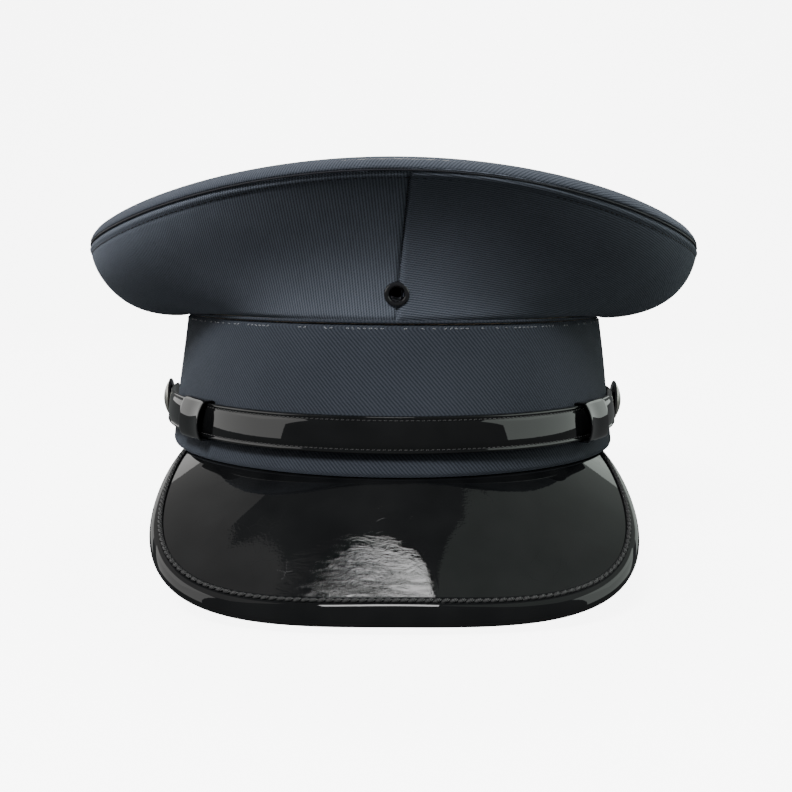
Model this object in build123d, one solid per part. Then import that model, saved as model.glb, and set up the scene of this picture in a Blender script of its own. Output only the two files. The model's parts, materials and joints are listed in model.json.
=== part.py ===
"""Military peaked cap: headband, crown on a hoop, patent peak and a swinging chin strap.

Millimetres. The origin is the centre of the head opening, on the headband's lower edge.
-Y is the front, +X the wearer's left and +Z up.
"""

from build123d import *
import os
from math import asin, atan2, cos, hypot, radians, sin

# Head opening (girth 580 mm) and the layers around it, from the head outwards
HEAD_HALF_X = 82.5
HEAD_HALF_Y = 101.5
SWEATBAND_T = 1.4
SWEATBAND_LEAN = 0.159
BAND_GAP = 1.6
STIFFENER_T = 1.6
BAND_CLOTH_T = 1.4
BAND_H = 49.5
SWEATBAND_BELOW = 1.5
BAND_LEAN = 0.125
WELT_T = 1.0
WELT_PROUD = 0.5
REED_T = 1.6
REED_H = 2.0

# Crown: the oval of its rim in plan, and the height of that rim
RIM_HALF_X = 121.0
RIM_HALF_Y = 139.0
RIM_CENTRE_Y = 9.0
RIM_MID_RISE = 23.8
RIM_FRONT_RISE = 24.1
RIM_FRONT_POWER = 2.17
RIM_REAR_DROP = 8.0
SIDE_FLARE = 20.0
SIDE_LIFT = 5.0
SIDE_RIM_DROP = 16.0
FRONT_UPRIGHT = 20.0
FRONT_RIM_BACK = 12.0
FRONT_RIM_DROP = 10.0

# Crown layers
CLOTH_T = 1.2
INTERLINING_T = 1.4
STAY_T = 0.8
STAY_HALF_ANGLE = 12.0
STAY_FOOT_L = 28.5
LINING_T = 0.6
TIP_EDGE_R = 2.0
HOOP_T = 1.2
HOOP_H = 1.8
FERRULE_HALF_L = 12.0
FERRULE_T = 0.4
SHIELD_HALF_X = 60.0
SHIELD_HALF_Y = 75.0
SHIELD_T = 0.5
LABEL_SIZE = (30.0, 18.0, 0.4)

# Badge eyelet on the centre front seam
EYELET_AT = 0.15
EYELET_BORE_R = 2.4
EYELET_WALL = 0.6
EYELET_FLANGE_W = 1.25
EYELET_FLANGE_H = 0.9
EYELET_CURL_W = 0.8
WASHER_T = 0.6

# Peak
PEAK_NARROWER = 4.8
PEAK_REACH = 33.5
PEAK_SIDE_Y = -78.0
PEAK_CORNER_Y = -44.0
PEAK_SLOPE_SIDE = 52.0
PEAK_SLOPE_FRONT = 58.0
PEAK_TOP_T = 1.2
PEAK_CORE_T = 2.2
PEAK_UNDER_T = 0.9
TONGUE_T = 0.8
TONGUE_INSET = 0.35
TONGUE_H = 8.0
BINDING_T = 1.1
BINDING_W = 4.5
BINDING_LIP = 1.6

# Chin strap, keepers and buttons
STRAP_Z = 14.0
STRAP_W = 12.5
STRAP_T = 1.0
STRAP_STANDOFF = 1.3
STRAP_FRONT_EASE = 0.335
STRAP_TIP_ANGLE = 25.0
KEEPER_START = 27.0
KEEPER_SWEEP = 9.0
KEEPER_T = 0.6
KEEPER_BULGE = 1.7
KEEPER_ROOM = 0.2
BUTTON_R = 7.95
BUTTON_RISE = 2.8
BUTTON_SHELL_T = 0.5
BUTTON_PLATE_R = 7.2
BUTTON_PLATE_T = 0.5
POST_R = 1.5
POST_EYELET_WALL = 0.62
POST_FLANGE_T = 0.3
NUT_R = 3.0
NUT_T = 1.1

# Clearances
LAYER_GAP = 0.1
PEAK_DROP = 0.2
SEAM_GAP = 0.15
HOOP_ROOM = 0.25
POST_ROOM = 0.08
NUT_SEAT_GAP = 0.05
WASHER_SEAT_GAP = 0.25
STRAP_LAYER_GAP = 0.05
FAR = 300.0

BAND_BUILD = SWEATBAND_T + BAND_GAP + STIFFENER_T + BAND_CLOTH_T
STIFFENER_OUT = BAND_CLOTH_T
STIFFENER_IN = BAND_CLOTH_T + STIFFENER_T
TONGUE_IN = STIFFENER_OUT + TONGUE_INSET + TONGUE_T
CROWN_BASE_Z = BAND_H + WELT_T
SWEATBAND_H = BAND_H - SWEATBAND_BELOW
RIM_MID_Z = CROWN_BASE_Z + RIM_MID_RISE
TIP_RISE = SEAM_GAP + 2 * FERRULE_T + HOOP_H + HOOP_ROOM + CLOTH_T
CROWN_BASE_GROW = BAND_BUILD - BAND_LEAN * CROWN_BASE_Z
INTERLINING_OUT = CLOTH_T + LAYER_GAP
STAY_OUT = max(STIFFENER_IN, INTERLINING_OUT + INTERLINING_T) + 2 * LAYER_GAP
LINING_INSET = STAY_OUT + STAY_T + 3 * LAYER_GAP
STAY_FOOT_Z = CROWN_BASE_Z - STAY_FOOT_L
EYELET_BARREL_R = EYELET_BORE_R + EYELET_WALL
EYELET_FLANGE_R = EYELET_BARREL_R + EYELET_FLANGE_W
EYELET_CURL_R = EYELET_BARREL_R + EYELET_CURL_W
PEAK_HALF_W = HEAD_HALF_X + BAND_BUILD - PEAK_NARROWER
PEAK_FRONT_Y = -(HEAD_HALF_Y + BAND_BUILD + PEAK_REACH)
POST_BORE_R = POST_R + POST_ROOM
POST_EYELET_R = POST_BORE_R + POST_EYELET_WALL
UP = Vector(0, 0, 1)


def oval(grow, z):
    """An ellipse at height z, grown from the head opening's."""
    return Plane.XY.offset(z) * Ellipse(HEAD_HALF_X + grow, HEAD_HALF_Y + grow)


def band_ring(inset_out, inset_in, z_low, z_high, lean=BAND_LEAN):
    """A leaning ring, between two insets from the headband's outer face."""
    shells = []
    for inset in (inset_out, inset_in):
        ends = [oval(BAND_BUILD - inset - lean * z, z) for z in (z_low, z_high)]
        shells.append(loft(ends, ruled=True))
    return shells[0] - shells[1]


def rim_height(y):
    """The rim is high in front, level at the sides and a little lower behind."""
    share = (RIM_CENTRE_Y - y) / RIM_HALF_Y
    if share > 0:
        return RIM_MID_Z + RIM_FRONT_RISE * share**RIM_FRONT_POWER
    return RIM_MID_Z - RIM_REAR_DROP * share**2


def crown_curve(angle, inset):
    """Bezier points of the crown wall at an angle from the front, inset into the wall."""
    s, c = sin(radians(angle)), cos(radians(angle))
    base = Vector(
        (HEAD_HALF_X + CROWN_BASE_GROW) * s,
        -(HEAD_HALF_Y + CROWN_BASE_GROW) * c,
        CROWN_BASE_Z,
    )
    rim_y = RIM_CENTRE_Y - RIM_HALF_Y * c
    rim = Vector(RIM_HALF_X * s, rim_y, rim_height(rim_y))
    out = Vector(rim.X - base.X, rim.Y - base.Y, 0).normalized()
    front = max(0.0, c) ** 2
    side = 1 - front
    low = base + out * (SIDE_FLARE * side) + UP * (SIDE_LIFT * side + FRONT_UPRIGHT * front)
    below = out * (FRONT_RIM_BACK * front) + UP * (SIDE_RIM_DROP * side + FRONT_RIM_DROP * front)
    edge = rim - out * inset
    edge = Vector(edge.X, edge.Y, rim_height(edge.Y))
    return [
        base - out * inset * (1 + 1.5 * side),
        low - out * inset * (front + 0.2 * side) + UP * inset * 1.3 * side,
        edge - below,
        edge,
    ]


def crown_section(angle, inset_out, inset_in):
    """One upright slice of a crown layer."""
    outer, inner = crown_curve(angle, inset_out), crown_curve(angle, inset_in)
    return make_face(
        [
            Bezier(*outer),
            Line(outer[3], inner[3]),
            Bezier(*reversed(inner)),
            Line(inner[0], outer[0]),
        ]
    )


def crown_layer(inset_out, inset_in, start, stop, slices=7):
    """A crown layer between two angles from the front."""
    step = (stop - start) / (slices - 1)
    return loft([crown_section(start + i * step, inset_out, inset_in) for i in range(slices)])


def rim_disc(inset):
    """The rim's oval as a tall prism, inset from its edge."""
    face = Pos(0, RIM_CENTRE_Y) * Ellipse(RIM_HALF_X - inset, RIM_HALF_Y - inset)
    return extrude(face, amount=FAR)


def rim_slab(z_low, z_high):
    """A slab that follows the rim's height from front to back."""
    reach = RIM_HALF_Y + 10
    ys = [RIM_CENTRE_Y + reach * i / 8 for i in range(-8, 9)]
    low, high = ([(y, rim_height(y) + z) for y in ys] for z in (z_low, z_high))
    edges = [Spline(*low), Line(low[-1], high[-1]), Spline(*high), Line(low[0], high[0])]
    return Pos(-FAR / 2, 0, 0) * extrude(Plane.YZ * make_face(edges), amount=FAR)


def rim_ring(inset_out, inset_in, z_low, z_high):
    return (rim_disc(inset_out) - rim_disc(inset_in)) & rim_slab(z_low, z_high)


def block(low, high):
    """A box from its lowest to its highest corner."""
    size = [b - a for a, b in zip(low, high)]
    centre = [(a + b) / 2 for a, b in zip(low, high)]
    return Pos(*centre) * Box(*size)


def front_seam(at):
    """The point on the centre front seam at a share of its curve, facing outwards."""
    p = crown_curve(0, 0)
    q = 1 - at
    point = p[0] * q**3 + p[1] * (3 * q * q * at) + p[2] * (3 * q * at * at) + p[3] * at**3
    along = (p[1] - p[0]) * q**2 + (p[2] - p[1]) * (2 * q * at) + (p[3] - p[2]) * at**2
    return Plane(origin=point, x_dir=(1, 0, 0), z_dir=Vector(0, -along.Z, along.Y))


def eyelet_disc(radius, depth_low, depth_high):
    """A disc on the badge eyelet's axis; depths count outwards from the cloth."""
    face = front_seam(EYELET_AT).offset(depth_low) * Circle(radius)
    return extrude(face, amount=depth_high - depth_low)


def button_disc(side, radius, x_low, x_high):
    """A disc on a button's axis, on the side given by the sign of X."""
    turned = Pos(side * x_low, 0, STRAP_Z) * Rot(0, 90 * side, 0)
    return extrude(turned * Circle(radius), amount=x_high - x_low)


def peak_drop(angle):
    return PEAK_SLOPE_SIDE + PEAK_SLOPE_FRONT * cos(radians(angle)) ** 5


def peak_sheet(z_top, z_bottom):
    """The cone-like sheet that the peak is cut from, between two heights at the band."""
    near, far = 0.96, 1.45
    grow = BAND_BUILD - STIFFENER_OUT
    sections = []
    for angle in range(-70, 71, 10):
        s, c = sin(radians(angle)), cos(radians(angle))
        corners = []
        for k, z in ((near, z_top), (far, z_top), (far, z_bottom), (near, z_bottom)):
            x, y = k * (HEAD_HALF_X + grow) * s, -k * (HEAD_HALF_Y + grow) * c
            corners.append((x, y, z - peak_drop(angle) * (k - 1)))
        sections.append(make_face(Polyline(*corners, close=True)))
    return loft(sections)


def peak_outline(inset):
    """The peak's outline as a tall prism, inset from its rim."""
    half, front = PEAK_HALF_W - inset, PEAK_FRONT_Y + inset
    corner_x = (HEAD_HALF_X + BAND_BUILD) * cos(asin(PEAK_CORNER_Y / (HEAD_HALF_Y + BAND_BUILD)))
    corner, side, nose = (corner_x - 1 - inset, PEAK_CORNER_Y), (half, PEAK_SIDE_Y), (0, front)
    right = [
        Bezier(corner, (half, PEAK_CORNER_Y - 14), side),
        Bezier(side, (half, PEAK_SIDE_Y - 46), (half - 20, front), nose),
    ]
    left = [edge.mirror(Plane.YZ) for edge in right]
    back = Line(corner, (-corner[0], corner[1]))
    return Pos(0, 0, -FAR / 2) * extrude(make_face([*right, *left, back]), amount=FAR)


def peak_layer(z_top, thickness, grow_in):
    """One layer of the peak, cut to its outline and to the headband."""
    inner = Pos(0, 0, -FAR / 2) * extrude(oval(grow_in, 0), amount=FAR)
    return (peak_sheet(z_top, z_top - thickness) & peak_outline(BINDING_LIP)) - inner


STRAP_IN_X = HEAD_HALF_X + BAND_BUILD - BAND_LEAN * STRAP_Z + STRAP_STANDOFF
STRAP_IN_Y = STRAP_IN_X + HEAD_HALF_Y - HEAD_HALF_X
STRAP_FRONT_R = STRAP_IN_X**2 / STRAP_IN_Y * (1 + STRAP_FRONT_EASE * (STRAP_IN_Y / STRAP_IN_X - 1))
STRAP_FRONT_C = STRAP_IN_Y - STRAP_FRONT_R
STRAP_SIDE_R = (STRAP_IN_X**2 + STRAP_FRONT_C**2 - STRAP_FRONT_R**2) / (2 * (STRAP_IN_X - STRAP_FRONT_R))
STRAP_SIDE_C = STRAP_SIDE_R - STRAP_IN_X
STRAP_LOW = STRAP_Z - STRAP_W / 2
STRAP_HIGH = STRAP_Z + STRAP_W / 2
STRAP_SPLIT = STRAP_T + STRAP_LAYER_GAP
STRAP_OUT = STRAP_SPLIT + STRAP_T


def strap_oval(grow, z):
    """The strap's line: two front and rear arcs joined by two side arcs, all tangent."""
    grow = grow - BAND_LEAN * (z - STRAP_Z)
    half_x, half_y, radius = STRAP_IN_X + grow, STRAP_IN_Y + grow, STRAP_FRONT_R + grow
    turn = atan2(STRAP_SIDE_C, STRAP_FRONT_C)
    join_x, join_y = radius * sin(turn), STRAP_FRONT_C + radius * cos(turn)
    arcs = [
        ThreePointArc((-join_x, -join_y), (0, -half_y), (join_x, -join_y)),
        ThreePointArc((join_x, -join_y), (half_x, 0), (join_x, join_y)),
        ThreePointArc((join_x, join_y), (0, half_y), (-join_x, join_y)),
        ThreePointArc((-join_x, join_y), (-half_x, 0), (-join_x, -join_y)),
    ]
    return Plane.XY.offset(z) * make_face(arcs)


def strap_layer(grow_in, grow_out, button_side):
    """A strap from its button round the front to inside the other side's keeper."""
    shells = []
    for grow in (grow_out, grow_in):
        shells.append(loft([strap_oval(grow, z) for z in (STRAP_LOW, STRAP_HIGH)], ruled=True))
    ring = shells[0] - shells[1]
    b, turn = button_side, radians(STRAP_TIP_ANGLE)
    centre = (b * STRAP_SIDE_C, 0)
    tip = (centre[0] - b * FAR * cos(turn), -FAR * sin(turn))
    corners = [(b * FAR, 0), centre, tip, (tip[0], -FAR), (b * FAR, -FAR)]
    reach = extrude(make_face(Polyline(*corners, close=True)), amount=STRAP_HIGH)
    x_in, x_out = STRAP_IN_X - STRAP_W, STRAP_IN_X + STRAP_W
    round_end = button_disc(b, STRAP_W / 2, x_in, x_out)
    return (ring & (reach + round_end)) - button_disc(b, POST_BORE_R, x_in, x_out)


def keeper(side):
    """A loop round both straps; it slides along the side arc that it is revolved on."""
    def profile(thickness, grow):
        half = STRAP_W / 2 + KEEPER_ROOM + thickness
        back, shoulder = -KEEPER_ROOM - thickness, STRAP_OUT + KEEPER_ROOM + grow / 2
        bulge = STRAP_OUT + KEEPER_ROOM + KEEPER_BULGE + thickness

        def at(out, up):
            return (STRAP_SIDE_R + out - BAND_LEAN * up, STRAP_Z + up)

        edges = [
            Line(at(shoulder, -half), at(back, -half)),
            Line(at(back, -half), at(back, half)),
            Line(at(back, half), at(shoulder, half)),
            ThreePointArc(at(shoulder, half), at(bulge, 0), at(shoulder, -half)),
        ]
        return make_face(edges)

    face = profile(KEEPER_T, KEEPER_T) - profile(0, 0)
    solid = revolve(Plane.XZ * face, Axis.Z, KEEPER_SWEEP)
    solid = Rot(0, 0, -KEEPER_START - KEEPER_SWEEP) * solid
    solid = Pos(-STRAP_SIDE_C, 0, 0) * solid
    return solid if side > 0 else mirror(solid, Plane.YZ)


def button_dome(side, x_back):
    """A plain hollow dome that closes on the button's back plate."""
    radius = (BUTTON_R**2 + BUTTON_RISE**2) / (2 * BUTTON_RISE)
    window = Pos(radius - BUTTON_RISE / 2, 0) * Rectangle(BUTTON_RISE, FAR)
    outer = Circle(radius) & window
    inner = Circle(radius - BUTTON_SHELL_T) & window
    face = (outer - inner) & Pos(radius, FAR / 2) * Rectangle(FAR, FAR)
    dome = Pos(BUTTON_RISE - radius, 0, 0) * revolve(face, Axis.X)
    dome = Pos(x_back, 0, STRAP_Z) * dome
    return dome if side > 0 else mirror(dome, Plane.YZ)


def headband_nodes():
    inner_end, outer_end = HEAD_HALF_X, STRAP_IN_X
    recess = band_ring(STIFFENER_OUT - LAYER_GAP, TONGUE_IN + LAYER_GAP, 0, TONGUE_H + LAYER_GAP)
    recess &= block((-FAR, -FAR, -1), (FAR, PEAK_CORNER_Y + LAYER_GAP, BAND_H))
    cloth = band_ring(0, BAND_CLOTH_T, 0, BAND_H)
    stiffener = band_ring(STIFFENER_OUT, STIFFENER_IN, 0, BAND_H) - recess
    posts = []
    for side in (-1, 1):
        hole = button_disc(side, POST_EYELET_R, inner_end, outer_end)
        cloth -= hole
        stiffener -= hole
        face_x = HEAD_HALF_X + BAND_BUILD - BAND_LEAN * STRAP_Z
        bush = button_disc(side, POST_EYELET_R, face_x - STIFFENER_IN - 0.1, face_x + 0.1)
        flange_x = face_x + BAND_LEAN * NUT_R + LAYER_GAP / 2
        bush += button_disc(side, POST_EYELET_R, face_x, flange_x)
        bush += button_disc(side, NUT_R, flange_x, flange_x + POST_FLANGE_T)
        posts.append(bush - button_disc(side, POST_BORE_R, inner_end, outer_end))
    sweat_out = BAND_BUILD - SWEATBAND_T
    return {
        "band_cloth": cloth,
        "band_stiffener": stiffener,
        "band_post_eyelets": Compound(posts),
        "sweatband": band_ring(sweat_out, BAND_BUILD, 0, SWEATBAND_H, SWEATBAND_LEAN),
        "edge_reed": band_ring(BAND_BUILD - REED_T, BAND_BUILD, -REED_H, -LAYER_GAP, 0),
        "band_welt": band_ring(-WELT_PROUD, BAND_CLOTH_T, BAND_H, CROWN_BASE_Z),
    }


def crown_nodes():
    hole = eyelet_disc(EYELET_BARREL_R + 0.05, -10, 5)
    flange_seat = eyelet_disc(EYELET_FLANGE_R + 0.05, -0.3, 5)
    quarters = {
        "front_left": (0, 90),
        "front_right": (0, -90),
        "rear_left": (180, 90),
        "rear_right": (-180, -90),
    }
    nodes, interlining, lining = {}, [], []
    lining_hole = eyelet_disc(EYELET_FLANGE_R + 1, -12, 5)
    for name, (start, stop) in quarters.items():
        cloth = crown_layer(0, CLOTH_T, start, stop)
        stiffening = crown_layer(INTERLINING_OUT, INTERLINING_OUT + INTERLINING_T, start, stop)
        cover = crown_layer(LINING_INSET, LINING_INSET + LINING_T, start, stop)
        if start == 0:
            cloth -= hole + flange_seat
            stiffening -= hole
            cover -= lining_hole
        nodes["crown_quarter_" + name] = cloth
        interlining.append(stiffening)
        lining.append(cover)
    nodes["crown_interlining"] = Compound(interlining)
    nodes["lining_side"] = Compound(lining)
    nodes["front_stay"] = front_stay() - hole

    tip = rim_disc(0) & rim_slab(SEAM_GAP, TIP_RISE)
    tip = fillet(tip.edges().sort_by(Axis.Z)[-1:], TIP_EDGE_R)
    nodes["crown_tip"] = tip - (rim_disc(CLOTH_T) & rim_slab(-1, TIP_RISE - CLOTH_T))
    hoop_out = CLOTH_T + FERRULE_T + LAYER_GAP
    hoop_in, hoop_low = hoop_out + HOOP_T, SEAM_GAP + FERRULE_T
    rear = RIM_CENTRE_Y + RIM_HALF_Y
    joint = block((-0.2, rear - 20, 0), (0.2, rear + 5, FAR))
    nodes["crown_hoop"] = rim_ring(hoop_out, hoop_in, hoop_low, hoop_low + HOOP_H) - joint
    sleeve_in = hoop_in + FERRULE_T
    sleeve = rim_ring(hoop_out - FERRULE_T, sleeve_in, hoop_low - FERRULE_T, hoop_low + HOOP_H + FERRULE_T)
    sleeve -= rim_ring(hoop_out, hoop_in, hoop_low, hoop_low + HOOP_H)
    nodes["hoop_ferrule"] = sleeve & block((-FERRULE_HALF_L, rear - 40, 0), (FERRULE_HALF_L, rear + 5, FAR))

    lining_edge = LINING_INSET + LINING_T + 2.2
    nodes["lining_tip"] = rim_disc(lining_edge) & rim_slab(-LINING_T, 0)
    window = extrude(Ellipse(SHIELD_HALF_X, SHIELD_HALF_Y), amount=FAR)
    shield_top = -LINING_T - LAYER_GAP
    nodes["sweat_shield"] = window & rim_slab(shield_top - SHIELD_T, shield_top)
    label_x, label_y, label_t = LABEL_SIZE
    label_low = shield_top - SHIELD_T - LAYER_GAP - label_t
    label = block((-label_x / 2, -label_y / 2, 0), (label_x / 2, label_y / 2, FAR))
    nodes["size_label"] = label & rim_slab(label_low, label_low + label_t)
    return nodes


def front_stay():
    """The springy upright that holds the crown's front, with its foot inside the headband."""
    sections = []
    for angle in (-STAY_HALF_ANGLE, 0, STAY_HALF_ANGLE):
        outer = crown_curve(angle, STAY_OUT)
        inner = crown_curve(angle, STAY_OUT + STAY_T)
        out = Vector(outer[0].X - inner[0].X, outer[0].Y - inner[0].Y, 0).normalized()
        foot = out * (BAND_LEAN * (CROWN_BASE_Z - STAY_FOOT_Z)) - UP * (CROWN_BASE_Z - STAY_FOOT_Z)
        sections.append(
            make_face(
                [
                    Line(outer[0] + foot, outer[0]),
                    Bezier(*outer),
                    Line(outer[3], inner[3]),
                    Bezier(*reversed(inner)),
                    Line(inner[0], inner[0] + foot),
                    Line(inner[0] + foot, outer[0] + foot),
                ]
            )
        )
    return loft(sections)


def eyelet_nodes():
    axis = front_seam(EYELET_AT).z_dir
    washer_top = -(STAY_OUT + STAY_T) * hypot(axis.X, axis.Y) - WASHER_SEAT_GAP
    washer_low = washer_top - WASHER_T
    barrel = eyelet_disc(EYELET_BARREL_R, washer_low - 0.4, 0)
    flange = fillet(
        eyelet_disc(EYELET_FLANGE_R, -0.3, EYELET_FLANGE_H).edges().sort_by(Axis.Y)[:1],
        EYELET_FLANGE_H / 2,
    )
    curl = eyelet_disc(EYELET_CURL_R, washer_low - 0.4, washer_low)
    washer = eyelet_disc(EYELET_FLANGE_R, washer_low, washer_top)
    return {
        "badge_eyelet": barrel + flange + curl - eyelet_disc(EYELET_BORE_R, -15, 5),
        "eyelet_washer": washer - eyelet_disc(EYELET_BARREL_R, -15, 5),
    }


def peak_nodes():
    seat = BAND_BUILD - STIFFENER_OUT
    core_top = -PEAK_DROP - PEAK_TOP_T - LAYER_GAP
    under_top = core_top - PEAK_CORE_T - LAYER_GAP
    core = peak_layer(core_top, PEAK_CORE_T, BAND_BUILD - TONGUE_IN)
    tongue = band_ring(STIFFENER_OUT + TONGUE_INSET, TONGUE_IN, core_top - PEAK_CORE_T / 2, TONGUE_H)
    core += tongue & block((-FAR, -FAR, -FAR), (FAR, PEAK_CORNER_Y - 1, FAR))
    top_z, low_z = -PEAK_DROP + LAYER_GAP, under_top - PEAK_UNDER_T - LAYER_GAP
    rim = peak_outline(0) - peak_outline(BINDING_W)
    binding = peak_sheet(top_z + BINDING_T, low_z - BINDING_T) & rim
    binding -= peak_sheet(top_z, low_z) & peak_outline(BINDING_LIP - LAYER_GAP)
    band = Pos(0, 0, -FAR / 2) * extrude(oval(BAND_BUILD + LAYER_GAP, 0), amount=FAR)
    return {
        "peak_top": peak_layer(-PEAK_DROP, PEAK_TOP_T, seat),
        "peak_core": core,
        "peak_underside": peak_layer(under_top, PEAK_UNDER_T, seat),
        "peak_binding": binding - band,
    }


def strap_nodes():
    nodes = {
        "chin_strap_outer": strap_layer(STRAP_SPLIT, STRAP_OUT, -1),
        "chin_strap_inner": strap_layer(0, STRAP_T, 1),
    }
    plate_x = STRAP_IN_X + STRAP_OUT + BAND_LEAN * STRAP_W / 2 + LAYER_GAP
    dome_x = plate_x + BUTTON_PLATE_T
    stiffener_x = HEAD_HALF_X + BAND_BUILD - BAND_LEAN * STRAP_Z - STIFFENER_IN
    nut_high = stiffener_x - BAND_LEAN * NUT_R - NUT_SEAT_GAP
    nut_low = nut_high - NUT_T
    for name, side in (("left", 1), ("right", -1)):
        nodes["keeper_" + name] = keeper(side)
        nodes[f"button_{name}_dome"] = button_dome(side, dome_x)
        shank = button_disc(side, POST_R, nut_low - 0.15, dome_x)
        nodes[f"button_{name}_shank"] = shank + button_disc(side, BUTTON_PLATE_R, plate_x, dome_x)
        nut = button_disc(side, NUT_R, nut_low, nut_high)
        nodes[f"button_{name}_nut"] = nut - button_disc(side, POST_R, nut_low - 1, nut_high + 1)
    return nodes


def main():
    os.makedirs("parts", exist_ok=True)
    nodes = {**headband_nodes(), **crown_nodes(), **eyelet_nodes(), **peak_nodes(), **strap_nodes()}
    for name, shape in nodes.items():
        export_step(shape, f"parts/{name}.step")


main()
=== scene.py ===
"""The looks of a military peaked cap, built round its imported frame.

Shapes are worked out in millimetres and written in metres. -Y is the front of the cap,
+X the wearer's left and +Z up. Angles round the cap count from the front, towards +X.
"""

import json
import math

import bpy
import numpy as np
from mathutils import Matrix, Vector


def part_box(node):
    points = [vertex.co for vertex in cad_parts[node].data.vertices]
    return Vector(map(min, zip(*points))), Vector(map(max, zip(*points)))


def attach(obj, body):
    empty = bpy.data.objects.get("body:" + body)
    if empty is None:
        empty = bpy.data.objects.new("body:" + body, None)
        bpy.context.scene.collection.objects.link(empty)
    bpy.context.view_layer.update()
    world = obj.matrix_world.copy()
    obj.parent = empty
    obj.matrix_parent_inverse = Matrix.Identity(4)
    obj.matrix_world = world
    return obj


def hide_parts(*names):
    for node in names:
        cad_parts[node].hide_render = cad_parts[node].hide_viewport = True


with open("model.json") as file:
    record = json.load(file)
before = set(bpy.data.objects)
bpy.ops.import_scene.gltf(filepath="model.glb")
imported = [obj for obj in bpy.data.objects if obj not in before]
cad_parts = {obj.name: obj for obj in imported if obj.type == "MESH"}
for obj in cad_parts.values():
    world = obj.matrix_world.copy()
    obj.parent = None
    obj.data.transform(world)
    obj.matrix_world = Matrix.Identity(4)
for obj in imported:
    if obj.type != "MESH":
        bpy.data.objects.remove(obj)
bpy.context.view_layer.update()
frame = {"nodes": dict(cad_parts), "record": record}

MM = 0.001
TAU = 2 * math.pi
UP = np.array([0.0, 0.0, 1.0])
RANDOM = np.random.default_rng(7)
CEILING_Z, CEILING_GLOW, FLOOR_GLOW = 1.2, 0.42, 6.5


# ---------------- sizes from the frame

def box_mm(node):
    """A CAD node's lowest and highest corners, in millimetres."""
    low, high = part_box(node)
    return np.array(low) / MM, np.array(high) / MM


BAND_X, BAND_Y, BAND_TOP = box_mm("band_cloth")[1]
BAND_LEAN = 0.125      # inwards, for each mm up
BASE_Z = box_mm("band_welt")[1][2]
BASE_X = BAND_X - BAND_LEAN * BASE_Z
BASE_Y = BAND_Y - BAND_LEAN * BASE_Z
TIP_LOW, TIP_HIGH = box_mm("crown_tip")
RIM_X = TIP_HIGH[0]
RIM_Y = (TIP_HIGH[1] - TIP_LOW[1]) / 2
RIM_MID_Y = (TIP_HIGH[1] + TIP_LOW[1]) / 2
TIP_ROLL = 2.5
RIM_FRONT_Z = box_mm("crown_quarter_front_left")[1][2] - 1.7
RIM_MID_Z = BASE_Z + 23.8
RIM_REAR_DROP = 8.0
RIM_FRONT_POWER = 2.17
TIP_RISE = TIP_HIGH[2] - RIM_FRONT_Z - 1.7
SWEAT_HIGH = box_mm("sweatband")[1]
SWEAT_LEAN = 0.159
REED_LOW = box_mm("edge_reed")[0][2]
PEAK_LOW, PEAK_HIGH = box_mm("peak_binding")
PEAK_CORNER_Y = -44.0
PEAK_SIDE_Y = -78.0
PEAK_FALL_SIDE = 52    # at its sides, for each headband radius outwards
PEAK_FALL_FRONT = 58   # added to that at the middle
PEAK_FALL_POWER = 5
STRAP_LOW, STRAP_HIGH = box_mm("chin_strap_inner")
STRAP_Z = (STRAP_LOW[2] + STRAP_HIGH[2]) / 2
STRAP_HALF = (STRAP_HIGH[2] - STRAP_LOW[2]) / 2
STRAP_CLEAR = 1.3      # from the headband's cloth
STRAP_FRONT_EASE = 0.335
KEEPER_AT, KEEPER_SPAN = 27.0, 9.0   # degrees round the side arc
SEAM_DRIFT = 3.4       # how far the front seam runs sideways by the rim

EYELET = next(m for m in frame["record"]["mounts"] if m["name"] == "badge_eyelet")
EYELET_AXIS = np.array(EYELET["axis"], float)
EYELET_BORE, EYELET_LENGTH = EYELET["dims"]["r_mm"], EYELET["dims"]["length_mm"]
EYELET_MOUTH = np.array(EYELET["pos_m"]) / MM + EYELET_AXIS * EYELET_LENGTH / 2


# ---------------- mesh helpers

def unit(v):
    return v / np.maximum(np.linalg.norm(v, axis=-1, keepdims=True), 1e-9)


def coords(*parts):
    """Points from their coordinates, broadcast together."""
    return np.stack(np.broadcast_arrays(*parts), axis=-1)


def grid_normals(grid, close_u=False, close_v=False):
    """Unit normals of a grid of points, along u cross v."""
    def slope(axis, closed):
        if closed:
            return np.roll(grid, -1, axis) - np.roll(grid, 1, axis)
        return np.gradient(grid, axis=axis)

    return unit(np.cross(slope(0, close_u), slope(1, close_v)))


def arc_lengths(points, axis=0):
    """Running length along one axis of a grid of points."""
    steps = np.linalg.norm(np.diff(points, axis=axis), axis=-1)
    zero = np.zeros_like(np.take(steps, [0], axis=axis))
    return np.cumsum(np.concatenate([zero, steps], axis=axis), axis=axis)


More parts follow.
